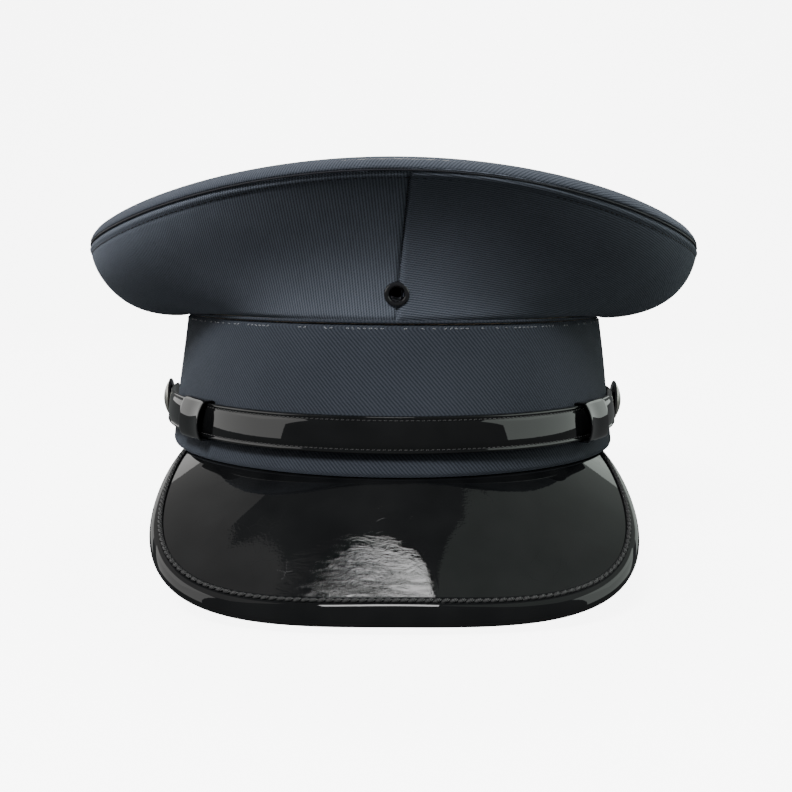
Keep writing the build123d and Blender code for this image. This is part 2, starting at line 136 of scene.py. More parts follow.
class Patch:
    """Collects faces, points in mm and a (u, v) in mm for each face corner, for one piece."""

    def __init__(self):
        self.points, self.faces, self.uvs, self.count = [], [], [], 0

    def grid(self, points, uv=None, close_u=False, close_v=False, flip=False, gone=None):
        nu, nv = points.shape[:2]
        if uv is None:
            ring = np.concatenate([points, points[:1]]) if close_u else points
            ring = np.concatenate([ring, ring[:, :1]], axis=1) if close_v else ring
            uv = coords(arc_lengths(ring, 0), arc_lengths(ring, 1))
        for i in range(nu if close_u else nu - 1):
            for j in range(nv if close_v else nv - 1):
                corners = [(i, j), (i + 1, j), (i + 1, j + 1), (i, j + 1)]
                if gone is not None and all(gone[a % nu, b % nv] for a, b in corners):
                    continue
                if flip:
                    corners.reverse()
                self.faces.append([self.count + (a % nu) * nv + b % nv for a, b in corners])
                self.uvs.extend(uv[a, b] for a, b in corners)
        self.points.append(points.reshape(-1, 3))
        self.count += nu * nv
        return self

    def cap(self, ring, flip=False):
        """A face that closes a ring of points, as a fan about their middle."""
        n = len(ring)
        middle = ring.mean(axis=0)
        for i in range(n):
            tri = [i, (i + 1) % n, n]
            if flip:
                tri.reverse()
            self.faces.append([self.count + k for k in tri])
            for k in tri:
                at = middle if k == n else ring[k]
                self.uvs.append((at[0] + at[1], at[2]))
        self.points.append(np.vstack([ring, middle]))
        self.count += n + 1
        return self

    def piece(self, name, material, body, slot=None):
        mesh = bpy.data.meshes.new(name)
        mesh.from_pydata((np.vstack(self.points) * MM).tolist(), [], self.faces)
        layer = mesh.uv_layers.new(name="weave")
        layer.data.foreach_set("uv", np.asarray(self.uvs, dtype=np.float32).ravel())
        mesh.validate()
        mesh.polygons.foreach_set("use_smooth", [True] * len(mesh.polygons))
        mesh.materials.append(material)
        piece = bpy.data.objects.new(name, mesh)
        bpy.context.scene.collection.objects.link(piece)
        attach(piece, body)
        return piece


def pierced(grid, radius):
    """The grid with its points near the badge eyelet's axis pushed out to a circle round it."""
    spoke = grid - EYELET_MOUTH
    spoke = spoke - np.sum(spoke * EYELET_AXIS, axis=-1, keepdims=True) * EYELET_AXIS
    reach = np.linalg.norm(spoke, axis=-1)
    near = (reach < radius) & (grid[..., 1] < 0)
    pushed = grid + unit(spoke) * (radius - reach)[..., None]
    return np.where(near[..., None], pushed, grid), near


def shell(name, outer, thickness, material, body, slot=None, uv=None, close_u=False, hole=0.0):
    """A closed sheet of even thickness behind an outer grid."""
    normals = grid_normals(outer, close_u=close_u)
    inner = outer - normals * thickness
    outer, gone = pierced(outer, hole)
    inner = pierced(inner, hole)[0]
    patch = Patch().grid(outer, uv, close_u, gone=gone).grid(inner, uv, close_u, flip=True, gone=gone)
    for edge_out, edge_in, flip in ((outer[:, 0], inner[:, 0], True), (outer[:, -1], inner[:, -1], False)):
        patch.grid(np.stack([edge_out, edge_in], axis=1), None, close_u, flip=flip)
    if not close_u:
        for k, flip in ((0, False), (-1, True)):
            patch.grid(np.stack([outer[k], inner[k]], axis=1), None, flip=flip)
    return patch.piece(name, material, body, slot)


def tube(name, grid, material, body, slot=None, close_u=False):
    """A closed section, along the grid's second axis, swept along its first."""
    patch = Patch().grid(grid, None, close_u, True)
    if not close_u:
        patch.cap(grid[0], flip=False).cap(grid[-1], flip=True)
    return patch.piece(name, material, body, slot)


def graded(length, count, fine=(0.0, 0.35, 0.8, 1.3, 2.0, 3.0, 4.2)):
    """Shares of a length, evenly spaced but closer at both ends."""
    ends = np.array(fine) / length
    even = np.linspace(0, 1, count)
    even = even[(even > ends[-1] * 1.2) & (even < 1 - ends[-1] * 1.2)]
    return np.concatenate([ends, even, 1 - ends[::-1]])


def along(path, distance, values=None):
    """A path's points, or values given at them, read at distances along it."""
    run = arc_lengths(path)
    values = path if values is None else values
    return np.stack([np.interp(distance, run, column) for column in values.T], axis=1)


def stitches(name, path, ups, pitch, size, material, body, slot=None, slant=0.0, wander=0.06, sunk=0.0):
    """A row of thread stitches, each a small rounded bead that lies along the path.

    A share of them, given by sunk, is pulled down into the cloth.
    """
    length, width, height = size
    total = arc_lengths(path)[-1]
    count = int(total / pitch)
    at = (np.arange(count) + 0.5) * total / count
    mid, up = along(path, at), along(path, at, ups)
    forward = unit(along(path, np.minimum(at + 0.2, total)) - along(path, np.maximum(at - 0.2, 0)))
    up = unit(up - forward * np.sum(up * forward, axis=1, keepdims=True))
    side = np.cross(up, forward)
    rings = np.linspace(-1, 1, 7)
    swell = np.sqrt(np.maximum(0, 1 - np.abs(rings) ** 2.6)) * 0.94 + 0.06
    turns = np.linspace(0, TAU, 7)[:-1]
    patch = Patch()
    for k in range(count):
        turn = slant + RANDOM.normal(0, wander)
        if RANDOM.random() < sunk:
            mid[k] -= up[k] * height * 0.8
        f = forward[k] * math.cos(turn) + side[k] * math.sin(turn)
        s = side[k] * math.cos(turn) - forward[k] * math.sin(turn)
        bead = np.array(
            [
                [
                    mid[k] + f * r * length / 2
                    + (s * math.cos(t) * width / 2 + up[k] * math.sin(t) * height / 2) * w
                    - up[k] * 0.18 * height * r * r
                    for t in turns
                ]
                for r, w in zip(rings, swell)
            ]
        )
        patch.grid(bead, None, False, True)
        patch.cap(bead[0]).cap(bead[-1], flip=True)
    return patch.piece(name, material, body, slot)


def spun(profile, centre, axis, turns=64):
    """A profile of (out, along) pairs turned about an axis through a centre."""
    axis = unit(np.array(axis, float))
    side = unit(np.cross(axis, UP if abs(axis[2]) < 0.9 else np.array([1.0, 0, 0])))
    other = np.cross(axis, side)
    angles = np.arange(turns) * TAU / turns
    ring = np.cos(angles)[:, None] * side + np.sin(angles)[:, None] * other
    out, forward = profile[:, 0], profile[:, 1]
    return centre + ring[:, None, :] * out[None, :, None] + axis * forward[None, :, None]


# ---------------- materials

class Look:
    """A material made of nodes, with its plain values set on the shader's own sockets."""

    def __init__(self, name, **values):
        self.material = bpy.data.materials.new(name)
        self.material.use_nodes = True
        self.tree = self.material.node_tree
        self.shader = self.tree.nodes["Principled BSDF"]
        for key, value in values.items():
            self.shader.inputs[key.replace("_", " ")].default_value = value

    def node(self, kind, **values):
        made = self.tree.nodes.new("ShaderNode" + kind)
        for key, value in values.items():
            if key in made.inputs:
                self.plug(value, made.inputs[key])
            elif key.startswith("in"):
                self.plug(value, made.inputs[int(key[2:])])
            else:
                setattr(made, key, value)
        return made

    def plug(self, value, socket):
        if isinstance(value, bpy.types.NodeSocket):
            self.tree.links.new(value, socket)
        else:
            socket.default_value = value

    def math(self, operation, a, b=0.0, c=0.5):
        return self.node("Math", operation=operation, in0=a, in1=b, in2=c).outputs[0]

    def times(self, a, b):
        return self.math("MULTIPLY", a, b)

    def plus(self, a, b):
        return self.math("ADD", a, b)

    def ripple(self, value):
        """The sine of a value, from 0 to 1."""
        return self.math("MULTIPLY_ADD", self.math("SINE", value), 0.5, 0.5)

    def noise(self, where, scale, detail=3.0, rough=0.5):
        made = self.node("TexNoise", Vector=where, Scale=scale, Detail=detail, Roughness=rough)
        return made.outputs["Fac"]

    def ramp(self, value, *stops):
        made = self.node("ValToRGB", Fac=value)
        elements = made.color_ramp.elements
        while len(elements) < len(stops):
            elements.new(0.5)
        for element, (place, colour) in zip(elements, stops):
            element.position = place
            element.color = (*colour, 1.0)
        return made.outputs["Color"]

    def object_space(self):
        return self.node("TexCoord").outputs["Object"]

    def weave_space(self):
        return self.node("UVMap", uv_map="weave").outputs["UV"]

    def bump(self, height, distance, strength=1.0):
        made = self.node("Bump", Height=height, Distance=distance, Strength=strength)
        self.plug(made.outputs["Normal"], self.shader.inputs["Normal"])
        return made

    def glow(self, colour, strength):
        self.shader.inputs["Emission Color"].default_value = (*colour, 1)
        self.shader.inputs["Emission Strength"].default_value = strength

    def colour(self, value):
        self.plug(value, self.shader.inputs["Base Color"])


def twill(name, angle, pitch=0.9, dark=(0.010, 0.012, 0.016), light=(0.105, 0.118, 0.146)):
    """Fine worsted twill: raised diagonal wales of short floats, with a little fuzz."""
    look = Look(name, Roughness=0.82, Sheen_Weight=0.12, Sheen_Roughness=0.4, Specular_IOR_Level=0.2)
    look.shader.inputs["Sheen Tint"].default_value = (0.55, 0.62, 0.75, 1)
    place = look.weave_space()
    turned = look.node("VectorRotate", rotation_type="Z_AXIS", Vector=place, Angle=math.radians(angle))
    split = look.node("SeparateXYZ", Vector=turned.outputs[0])
    waver = look.times(look.noise(place, 0.35, 2.0), 1.1)
    across = look.plus(look.times(split.outputs["Y"], TAU / pitch), waver)
    wale = look.ripple(across)
    floats = look.plus(look.times(split.outputs["X"], TAU / (pitch * 0.62)), across)
    yarn = look.ripple(floats)
    fuzz = look.noise(place, 2.6, 3.0, 0.7)
    cloth = look.plus(look.times(wale, 0.36), look.times(yarn, 0.28))
    cloth = look.plus(cloth, look.times(fuzz, 0.50))
    shade = look.noise(look.object_space(), 18.0, 3.0, 0.6)
    shade = look.plus(cloth, look.times(look.math("SUBTRACT", shade, 0.5), 0.28))
    middle = tuple(a * 0.5 + b * 0.5 for a, b in zip(dark, light))
    look.colour(look.ramp(shade, (0.18, dark), (0.55, middle), (0.95, light)))
    look.bump(cloth, 0.00022, 0.85)
    return look.material


def creases(look, where, middle=(-0.013, -0.136, -0.032)):
    """Fine cracks and puckers where the middle of the peak has been bent and handled."""
    near = look.node("VectorMath", operation="DISTANCE", in0=where, in1=middle)
    patch = look.node("MapRange", Value=near.outputs["Value"])
    patch.inputs["From Min"].default_value, patch.inputs["From Max"].default_value = 0.026, 0.006
    drawn = look.node("Mapping", Vector=where)
    drawn.inputs["Rotation"].default_value = (0, 0, 0.6)
    drawn.inputs["Scale"].default_value = (0.35, 1.0, 1.0)
    drawn = drawn.outputs[0]
    puckers = look.node("TexNoise", Vector=drawn, Scale=420.0, Detail=5.0, Roughness=0.65, Distortion=1.2)
    return look.times(look.times(puckers.outputs["Fac"], patch.outputs["Result"]), 0.75)


def patent(name, scuffs=1.0, waver=1.0, creased=False):
    """Black patent leather: a clear mirror coat over black, slightly wavy, with faint scuffs."""
    look = Look(name, Roughness=0.5, Coat_Weight=1.0, Coat_Roughness=0.015, Specular_IOR_Level=0.0)
    look.shader.inputs["Coat IOR"].default_value = 1.55
    where = look.object_space()
    cloud = look.noise(where, 60.0, 2.0)
    look.colour(look.ramp(cloud, (0.3, (0.0028, 0.0030, 0.0034)), (0.8, (0.0065, 0.0068, 0.0072))))
    swell = look.noise(where, 22.0, 1.0, 0.4)
    grain = look.noise(where, 900.0, 2.0, 0.6)
    height = look.plus(look.times(swell, waver), look.times(grain, 0.012))
    fine = look.node("TexVoronoi", feature="DISTANCE_TO_EDGE", Vector=where, Scale=160.0)
    specks = look.math("LESS_THAN", fine.outputs["Distance"], 0.004)
    patchy = look.math("GREATER_THAN", look.noise(where, 45.0, 2.0), 0.62)
    marks = look.times(look.times(specks, patchy), 0.06 * scuffs)
    height = look.math("SUBTRACT", height, marks)
    if creased:
        height = look.plus(height, creases(look, where))
    bump = look.bump(height, 0.0006, 0.35)
    look.plug(bump.outputs["Normal"], look.shader.inputs["Coat Normal"])
    return look.material


def metal(name, colour, rough=0.16, bumpy=0.3):
    look = Look(name, Metallic=1.0, Roughness=rough)
    where = look.object_space()
    cloud = look.noise(where, 140.0, 3.0)
    dull = tuple(c * 0.72 for c in colour)
    look.colour(look.ramp(cloud, (0.3, dull), (0.62, colour)))
    scratch = look.node("Mapping", Vector=where)
    scratch.inputs["Scale"].default_value = (40, 900, 900)
    marks = look.noise(scratch.outputs[0], 3.0, 2.0)
    rough_map = look.math("MULTIPLY_ADD", marks, 0.22, rough - 0.06)
    look.plug(rough_map, look.shader.inputs["Roughness"])
    look.bump(look.plus(cloud, marks), 0.00003, bumpy)
    return look.material


def enamel(name, colour=(0.006, 0.006, 0.007)):
    look = Look(name, Roughness=0.14, Coat_Weight=0.8, Coat_Roughness=0.04)
    cloud = look.noise(look.object_space(), 260.0, 3.0)
    look.colour(look.ramp(cloud, (0.3, colour), (0.85, tuple(c * 2.2 for c in colour))))
    look.bump(cloud, 0.00004, 0.3)
    return look.material


def leather(name, dark, light, rough=0.45, scale=420.0, depth=0.00012):
    """Grained leather: small rounded cells with pores between them."""
    look = Look(name, Roughness=rough, Specular_IOR_Level=0.4)
    where = look.object_space()
    cells = look.node("TexVoronoi", feature="SMOOTH_F1", Vector=where, Scale=scale)
    cloud = look.noise(where, 30.0, 4.0)
    tone = look.plus(look.times(cells.outputs["Distance"], 0.5), look.times(cloud, 0.6))
    look.colour(look.ramp(tone, (0.2, dark), (0.8, light)))
    grain = look.plus(cells.outputs["Distance"], look.times(look.noise(where, 900.0), 0.4))
    look.bump(grain, depth, 0.6)
    return look.material


def satin(name, dark=(0.010, 0.011, 0.016), light=(0.035, 0.038, 0.052)):
    """Lining satin: fine lengthwise threads with a soft, directional gloss."""
    look = Look(name, Roughness=0.38, Anisotropic=0.5, Sheen_Weight=0.2)
    place = look.weave_space()
    stretched = look.node("Mapping", Vector=place)
    stretched.inputs["Scale"].default_value = (6.0, 0.5, 1.0)
    threads = look.noise(stretched.outputs[0], 1.0, 3.0, 0.6)
    cloud = look.noise(look.object_space(), 25.0, 3.0)
    tone = look.plus(look.times(threads, 0.6), look.times(cloud, 0.4))
    look.colour(look.ramp(tone, (0.3, dark), (0.7, light)))
    look.bump(threads, 0.00012, 0.4)
    return look.material


def thread(name, dark, light, rough=0.5):
    """Sewing thread: a tight twist along each stitch."""
    look = Look(name, Roughness=rough, Specular_IOR_Level=0.45)
    place = look.weave_space()
    split = look.node("SeparateXYZ", Vector=place)
    twist = look.plus(look.times(split.outputs["X"], 11.0), look.times(split.outputs["Y"], 9.0))
    ply = look.ripple(twist)
    look.colour(look.ramp(ply, (0.1, dark), (0.9, light)))
    look.bump(ply, 0.0001, 0.8)
    return look.material


def board(name, dark, light, rough=0.8):
    """Fibreboard or canvas inside the cap."""
    look = Look(name, Roughness=rough)
    where = look.object_space()
    fibre = look.noise(where, 380.0, 5.0, 0.7)
    look.colour(look.ramp(fibre, (0.3, dark), (0.7, light)))
    look.bump(fibre, 0.0002, 0.6)
    return look.material


def clear_film(name):
    """Clear flexible plastic, faintly cloudy."""
    look = Look(name, Roughness=0.08, Transmission_Weight=0.9, IOR=1.45, Alpha=0.35)
    cloud = look.noise(look.object_space(), 40.0, 3.0)
    look.colour(look.ramp(cloud, (0.3, (0.72, 0.76, 0.78)), (0.8, (0.92, 0.94, 0.95))))
    look.bump(cloud, 0.0004, 0.3)
    return look.material


def floor_look(name, colour):
    look = Look(name, Roughness=0.7)
    cloud = look.noise(look.object_space(), 4.0, 2.0)
    look.colour(look.ramp(cloud, (0.2, tuple(c * 0.985 for c in colour)), (0.8, colour)))
    look.glow((1, 1, 1), FLOOR_GLOW)
    return look.material


# The crown quarters' twills are lighter than the default twill and the band's twill darker: painted fill light
# on the crown and painted shade on the band, in place of a low front fill lamp.
TWILL_LEFT_FILL_LIT = twill("twill_level_wales", 8.0, 0.8, (0.013, 0.016, 0.021), (0.150, 0.168, 0.206))
TWILL_RIGHT_FILL_LIT = twill("twill_upright_wales", 98.0, 0.9, (0.014, 0.017, 0.022), (0.165, 0.185, 0.226))
TWILL_BAND_SHADED = twill("twill_band", 38.0, 0.85, (0.006, 0.008, 0.011), (0.060, 0.068, 0.085))
TWILL_TIP = twill("twill_tip", -55.0)
PATENT = patent("patent_leather", scuffs=0.3, creased=True)
PATENT_SOFT = patent("patent_strap", scuffs=0.0, waver=0.5)
SILVER = metal("silver_plate", (0.86, 0.85, 0.78), rough=0.26)
STEEL = metal("plated_steel", (0.52, 0.52, 0.53), rough=0.3)
ENAMEL = enamel("black_enamel")
SWEAT_LEATHER = leather("sweatband_leather", (0.010, 0.010, 0.011), (0.035, 0.034, 0.036), rough=0.42)
UNDER_LEATHER = leather("peak_leathercloth", (0.008, 0.012, 0.010), (0.026, 0.034, 0.029), 0.6, 600.0)
SATIN = satin("lining_satin")
THREAD_DARK = thread("thread_dark", (0.004, 0.004, 0.006), (0.03, 0.032, 0.040))
THREAD_SEAM = thread("thread_seam", (0.020, 0.024, 0.032), (0.30, 0.31, 0.33), rough=0.28)
THREAD_WAXED = thread("thread_waxed", (0.004, 0.004, 0.005), (0.060, 0.060, 0.060), rough=0.22)
TRIM = board("corded_trim", (0.004, 0.004, 0.005), (0.016, 0.016, 0.018), rough=0.6)
CANVAS = board("hair_canvas", (0.42, 0.38, 0.30), (0.66, 0.62, 0.54))
FIBREBOARD = board("fibreboard", (0.14, 0.10, 0.06), (0.30, 0.23, 0.15))
TAPE = board("label_tape", (0.55, 0.55, 0.52), (0.72, 0.71, 0.68))
BLACK_PLASTIC = board("stay_plastic", (0.010, 0.010, 0.011), (0.030, 0.030, 0.032), rough=0.4)
WHITE_PLASTIC = board("hoop_plastic", (0.62, 0.60, 0.55), (0.78, 0.76, 0.72), rough=0.4)
FILM = clear_film("clear_film")


# ---------------- crown

def rim_height(y):
    """The rim is high in front, level at the sides and a little lower behind."""
    share = (RIM_MID_Y - y) / RIM_Y
    front = (RIM_FRONT_Z - RIM_MID_Z) * np.maximum(share, 0) ** RIM_FRONT_POWER
    return RIM_MID_Z + front - RIM_REAR_DROP * np.minimum(share, 0) ** 2


def crown_wall(angles, shares, inset=0.0, droop=1.0):
    """The crown's wall as a grid: angles round the cap in degrees by shares up the wall."""
    turn = np.radians(angles)
    s, c = np.sin(turn), np.cos(turn)
    base = coords(BASE_X * s, -BASE_Y * c, BASE_Z)
    rim_y = RIM_MID_Y - RIM_Y * c
    rim = coords(RIM_X * s, rim_y, rim_height(rim_y))
    out = unit((rim - base) * (1, 1, 0))
    front = np.maximum(c, 0)[:, None] ** 2
    side = 1 - front
    hang = droop * np.exp(-(((np.abs(angles) - 92) / 26) ** 2))[:, None]
    base = base + out * (0.9 * hang) - UP * (2.4 * hang)
    low = base + out * (21 * side) + UP * (-droop * side + (1 - droop) * 5 * side + 20 * front)
    high = rim - out * (12 * front) - UP * (16 * side + 10 * front)
    base, low = base - out * inset, low - out * inset * (front + 0.2 * side) + UP * inset * 1.3 * side
    high, rim = high - out * inset, rim - out * inset
    u = shares[None, :, None]
    return (
        base[:, None] * (1 - u) ** 3
        + low[:, None] * (3 * u * (1 - u) ** 2)
        + high[:, None] * (3 * u * u * (1 - u))
        + rim[:, None] * u**3
    )


def softness(angles, shares, seed):
    """Slow, shallow unevenness of stretched cloth, in mm."""
    a, v = np.radians(angles)[:, None], shares[None, :]
    swell = 1 + np.sin(3.1 * a + 2.0 * v + seed) * np.sin(5.3 * v + 1.7 * seed)
    ripple = 1 + np.sin(11 * a - 3.5 * v + 2.3 * seed)
    return (0.4 * swell + 0.35 * ripple * (1 - v) ** 2) * np.sin(math.pi * v)


def crown_quarter(name, start, stop, material, seed):
    """One cloth panel, tucked in at its seams, with a ridge and a groove under the rim."""
    width = abs(stop - start) * 2.05
    lap = math.copysign(0.12, stop - start)
    angles = start - lap + (stop - start + 2 * lap) * graded(width, 84)
    shares = graded(56, 44)
    grid = crown_wall(angles, shares)
    flip = stop < start
    normals = grid_normals(grid) * (-1 if flip else 1)
    run_v = arc_lengths(grid, 1)
    run_u = arc_lengths(grid, 0)
    to_rim = run_v[:, -1:] - run_v
    to_start, to_stop = run_u, run_u[-1:] - run_u
    lift = softness(angles, shares, seed)
    tucks = ((run_v, 0.7, 0.9), (to_rim, 1.1, 0.8), (to_start, 0.9, 0.9), (to_stop, 0.8, 0.9))
    for gap, depth, reach in tucks:
        lift = lift - depth * np.exp(-((gap / reach) ** 2))
    lift = lift + 0.38 * np.exp(-(((to_rim - 1.9) / 0.9) ** 2))
    lift = lift - 0.22 * np.exp(-(((to_rim - 3.3) / 0.35) ** 2))
    grid = grid + normals * np.maximum(lift, 0.4 * shares[None, :] - 0.95)[..., None]
    lean = SEAM_DRIFT * np.maximum(0, 1 - to_start / 60) * shares[None, :] if start == 0 else 0 * lift
    grid = grid + coords(lean, 0, 0)
    uv = coords(run_u, run_v)
    if flip:
        grid, uv = grid[::-1], uv[::-1]
    piece = shell(name, grid, 1.1, material, "cap", "wool_twill", uv, hole=3.3)
    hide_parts(name)


def rim_line(count, inset, rise):
    """Points round the crown's rim, starting at the back."""
    turn = np.linspace(-math.pi, math.pi, count)
    y = RIM_MID_Y - (RIM_Y - inset) * np.cos(turn)
    outer_y = RIM_MID_Y - RIM_Y * np.cos(turn)
    return coords((RIM_X - inset) * np.sin(turn), y, rim_height(outer_y) + rise)


def crown_tip():
    """The oval top panel: a rolled edge over the hoop, then cloth stretched almost flat."""
    turn = np.linspace(0, TAU, 241)[:-1]
    edge = [(1.3, -0.3), (0.45, 0.15), (0.05, 0.9), (0.15, 1.9), (0.8, 3.0), (2.0, 3.75), (3.5, 4.1)]
    inset = np.array([p[0] for p in edge] + [5.0, 8, 13, 20, 30, 42, 56, 72, 90, 108, 122])
    rise = np.array([p[1] for p in edge] + [4.15] * 11) * TIP_RISE / 4.2
    x_in = np.minimum(inset, RIM_X - 0.5)[None, :]
    y_share = (RIM_Y - np.minimum(inset * RIM_Y / RIM_X, RIM_Y - 0.5))[None, :]
    y = RIM_MID_Y - y_share * np.cos(turn)[:, None]
    x = (RIM_X - x_in) * np.sin(turn)[:, None]
    share = np.clip(1 - (inset - 4) / (RIM_X - 4), 0, 1)
    sag = 2.2 * (1 - share**2) * (inset > 4)
    wave = 0.35 * np.sin(2.0 * turn + 0.7)[:, None] * np.sin(math.pi * share)[None, :]
    puff = TIP_ROLL * np.clip(inset[None, :] / 3.0, 0, 1)
    z = rim_height(y) + (rise - sag)[None, :] + wave + puff
    grid = coords(x, y, z)
    patch = Patch()
    closed = np.concatenate([grid, grid[:1]])
    spoke = unit(closed[:, :1, :2] - (0, RIM_MID_Y))
    run = arc_lengths(closed, 1)
    uv = spoke * (run[:, -1:] - run + 3)[..., None]
    patch.grid(grid, uv, close_u=True)
    patch.cap(grid[:, -1])
    under = grid - grid_normals(grid, close_u=True) * 0.9
    patch.grid(under, uv, close_u=True, flip=True)
    patch.cap(under[:, -1], flip=True)
    patch.grid(np.stack([grid[:, 0], under[:, 0]], axis=1), None, True, flip=True)
    piece = patch.piece("crown_tip_cloth", TWILL_TIP, "cap", "wool_twill")
    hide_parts("crown_tip")


def crown():
    crown_quarter("crown_quarter_front_left", 0, 90, TWILL_LEFT_FILL_LIT, 0.4)
    crown_quarter("crown_quarter_front_right", 0, -90, TWILL_RIGHT_FILL_LIT, 1.9)
    crown_quarter("crown_quarter_rear_left", 180, 90, TWILL_RIGHT_FILL_LIT, 3.1)
    crown_quarter("crown_quarter_rear_right", -180, -90, TWILL_LEFT_FILL_LIT, 4.4)
    crown_tip()
    # A thin dark cord sunk in the rim seam: painted shade for the seam's groove, which the clipped tucks leave
    # shallow.
    rim = rim_line(721, inset=0.25, rise=0.05)[:-1]
    tube("rim_seam_shade_cord", round_tube(rim, 0.34, 8), THREAD_DARK, "cap", "wool_twill", close_u=True)
    shares = np.linspace(0.22, 0.95, 200)
    seam = crown_wall(np.array([0.0]), shares)[0] + np.outer(SEAM_DRIFT * shares, (1, 0, 0)) + (0, 0.30, 0)
    ups = np.tile(EYELET_AXIS, (200, 1))
    stitches("front_seam_stitching", seam, ups, 1.2, (0.95, 0.42, 0.4), THREAD_DARK, "cap", wander=0.3)
    angles = np.linspace(-180, 180, 721)
    wall = crown_wall(angles, np.linspace(0, 1, 120))
    ups = grid_normals(wall)
    run = arc_lengths(wall, 1)
    rows = np.argmin(np.abs(run[:, -1:] - run - 3.3), axis=1)
    pick = np.arange(len(angles))
    row, normal = wall[pick, rows], ups[pick, rows]
    stitches("rim_topstitching", row, normal, 2.6, (2.0, 0.5, 0.34), THREAD_DARK, "cap")


# ---------------- headband

def band_wall(angles, heights, inset=0.0):
    """The headband's leaning wall as a grid of angles by heights."""
    turn = np.radians(angles)[:, None]
    grow = -inset - BAND_LEAN * heights[None, :]
    x = (BAND_X + grow) * np.sin(turn)
    y = -(BAND_Y + grow) * np.cos(turn)
    return coords(x, y, heights[None, :])


def headband():
    angles = -180 + 360 * graded(615, 260)
    heights = BAND_TOP * graded(BAND_TOP, 26)
    grid = band_wall(angles, heights)
    a = np.radians(angles)[:, None]
    v = heights[None, :] / BAND_TOP
    z = heights[None, :]
    lift = 0.35 * np.sin(4 * a + 3 * v) * np.sin(math.pi * v) + 0.25 * np.sin(9 * a - 4 * v) * v * (1 - v)
    lift = lift - np.exp(-(((BAND_TOP - z) / 0.8) ** 2)) - 0.5 * np.exp(-((z / 0.6) ** 2))
    run = arc_lengths(grid, 0)
    for gap in (run, run[-1:] - run):
        lift = lift - 0.8 * np.exp(-((gap / 0.8) ** 2))
    grid = grid + grid_normals(grid) * lift[..., None]
    cloth = shell("band_cloth_twill", grid, 1.2, TWILL_BAND_SHADED, "cap", "wool_twill")
    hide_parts("band_cloth")

    ring = np.linspace(-180, 180, 721)
    seam = band_wall(ring, np.array([BAND_TOP - 1.5, BAND_TOP - 1.4]))
    out = unit(seam[:, 0] * (1, 1, 0))
    seam = seam[:, 0] - out * 0.02
    stitches("band_top_stitching", seam, out, 1.9, (1.3, 0.5, 0.4), THREAD_SEAM, "cap", wander=0.35, sunk=0.45)

    turn = np.radians(np.linspace(-180, 180, 361)[:-1])
    welt_x, welt_y = BASE_X - 0.1, BASE_Y - 0.1
    centre = coords(welt_x * np.sin(turn), -welt_y * np.cos(turn), BASE_Z - 0.35)
    piece = tube("seam_welt", round_tube(centre, 0.55), TWILL_BAND_SHADED, "cap", "wool_twill", close_u=True)
    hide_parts("band_welt")

    reed_r = -REED_LOW / 2
    reed_in = box_mm("edge_reed")[1]
    x, y = reed_in[0] - reed_r * 0.85, reed_in[1] - reed_r * 0.85
    centre = coords(x * np.sin(turn), -y * np.cos(turn), -reed_r)
    round_it = np.linspace(0, TAU, 13)[None, :-1]
    twist = 0.07 * np.sin(np.arange(len(turn))[:, None] * 2.4 + round_it * 2)
    cord = round_tube(centre, reed_r * 0.94 + twist, 12)
    piece = tube("edge_reed_cord", cord, TRIM, "cap", "reed_trim", close_u=True)
    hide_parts("edge_reed")


def round_tube(centre, radius, sides=12):
    """A round section swept round a closed, nearly level line."""
    forward = unit(np.roll(centre, -1, 0) - np.roll(centre, 1, 0))
    out = unit(np.cross(forward, UP))
    turns = np.linspace(0, TAU, sides + 1)[:-1]
    radius = np.broadcast_to(radius, (len(centre), sides))[..., None]
    swing = out[:, None] * np.cos(turns)[None, :, None] + UP * np.sin(turns)[None, :, None]
    return centre[:, None] + swing * radius


def sweatband():
    """Leather against the head, lapped at the back, with a stitched lower edge."""
    high, lean = SWEAT_HIGH, SWEAT_LEAN
    angles = 180 - 360 * graded(570, 220)
    heights = high[2] * graded(high[2], 24)
    turn, z = np.radians(angles)[:, None], heights[None, :]
    free = (z / high[2]) ** 3
    wave = 0.35 * free * np.sin(6 * turn + 1) + 0.25 * free * np.sin(13 * turn)
    grow = -1.4 - lean * z + wave
    x, y = (high[0] + grow) * np.sin(turn), -(high[1] + grow) * np.cos(turn)
    grid = coords(x, y, z)
    piece = shell("sweatband_leather", grid, 1.2, SWEAT_LEATHER, "cap", "sweatband_leather")
    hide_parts("sweatband")
    row = grid[:, np.argmin(np.abs(heights - 2.6))]
    inward = unit(-row * (1, 1, 0))
    stitches("sweatband_stitching", row, inward, 3.2, (2.5, 0.5, 0.4), THREAD_WAXED, "cap")
    lap_z = np.linspace(2, high[2] - 2, 60)
    lap = coords(0, high[1] - 1.4 - lean * lap_z - 0.15, lap_z)
    ups = np.tile([0.0, -1, 0], (60, 1))
    for k, x in enumerate((-4.0, 4.0)):
        name = f"sweatband_lap_stitching_{k + 1}"
        slant = 0.5 * (1 - 2 * k)
        stitches(name, lap + (x, 0, 0), ups, 2.4, (2.2, 0.5, 0.4), THREAD_WAXED, "cap", slant=slant)


